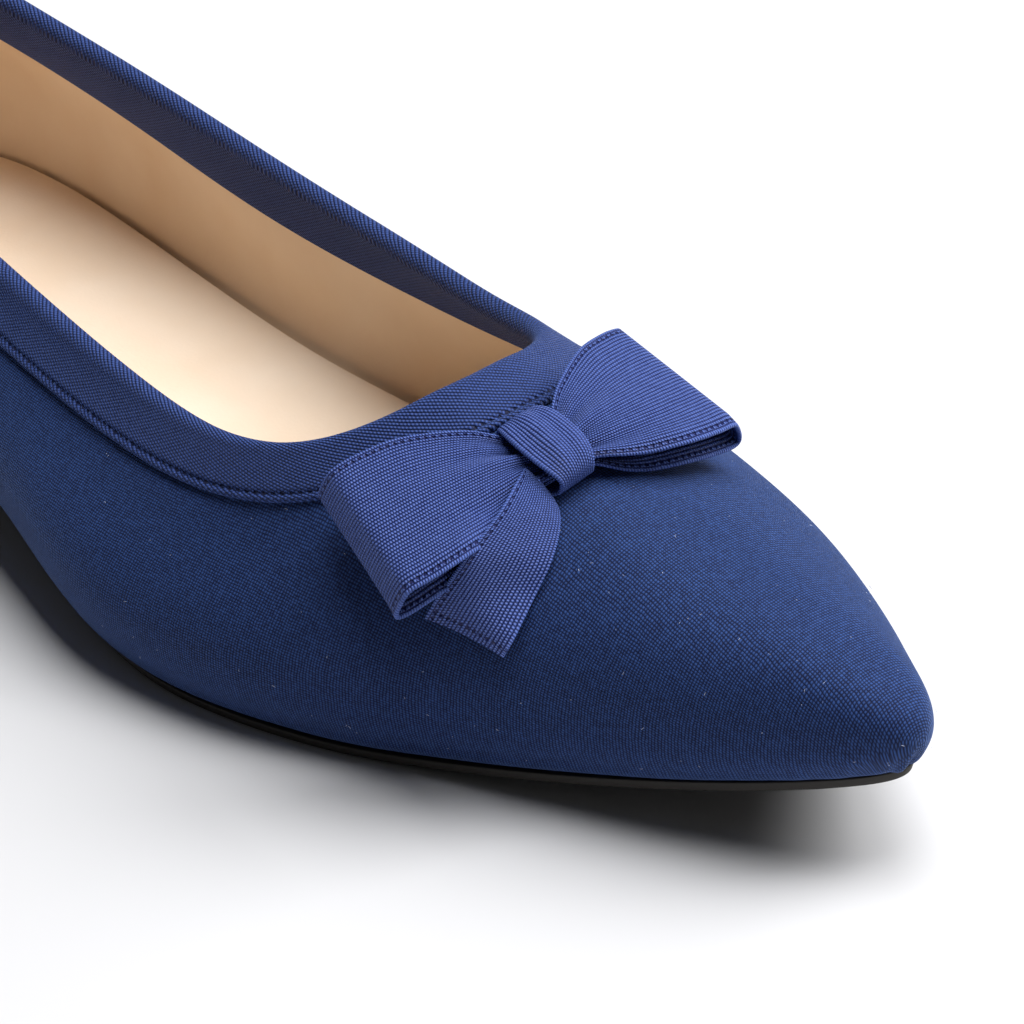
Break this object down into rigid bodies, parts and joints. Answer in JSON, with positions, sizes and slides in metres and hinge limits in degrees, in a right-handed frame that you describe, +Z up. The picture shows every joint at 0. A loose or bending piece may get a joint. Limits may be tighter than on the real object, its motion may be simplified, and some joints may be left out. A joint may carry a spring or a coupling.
{
  "type": "pointed flat",
  "caption": "Low-cut woven cloth flat with a pointed toe, a stitched ribbon binding, a small ribbon bow on the throat, a leather sock and a thin sole on a low heel.",
  "frame": {"origin": "middle of the heel's ground face, 26 mm in front of the heel's back at the feather edge", "axes": "+X from heel to toe, +Y to the wearer's left (the inner side of this right shoe), +Z up from the floor"},
  "size_m": [0.2585, 0.0865, 0.0616],
  "materials": {
    "cloth": "plain weave cotton canvas, matt",
    "binding": "folded grosgrain ribbon, soft sheen",
    "ribbon": "grosgrain ribbon, soft sheen",
    "sock_leather": "smooth beige lining leather, satin",
    "sole": "dark moulded rubber, matt"
  },
  "bodies": {
    "root": {"upper": "cloth", "topline_binding": "binding", "insole": "sock_leather", "outsole": "sole", "heel": "sole", "bow_near_loop": "ribbon", "bow_far_loop": "ribbon", "bow_knot": "ribbon", "bow_tail": "ribbon"}
  },
  "joints": []
}
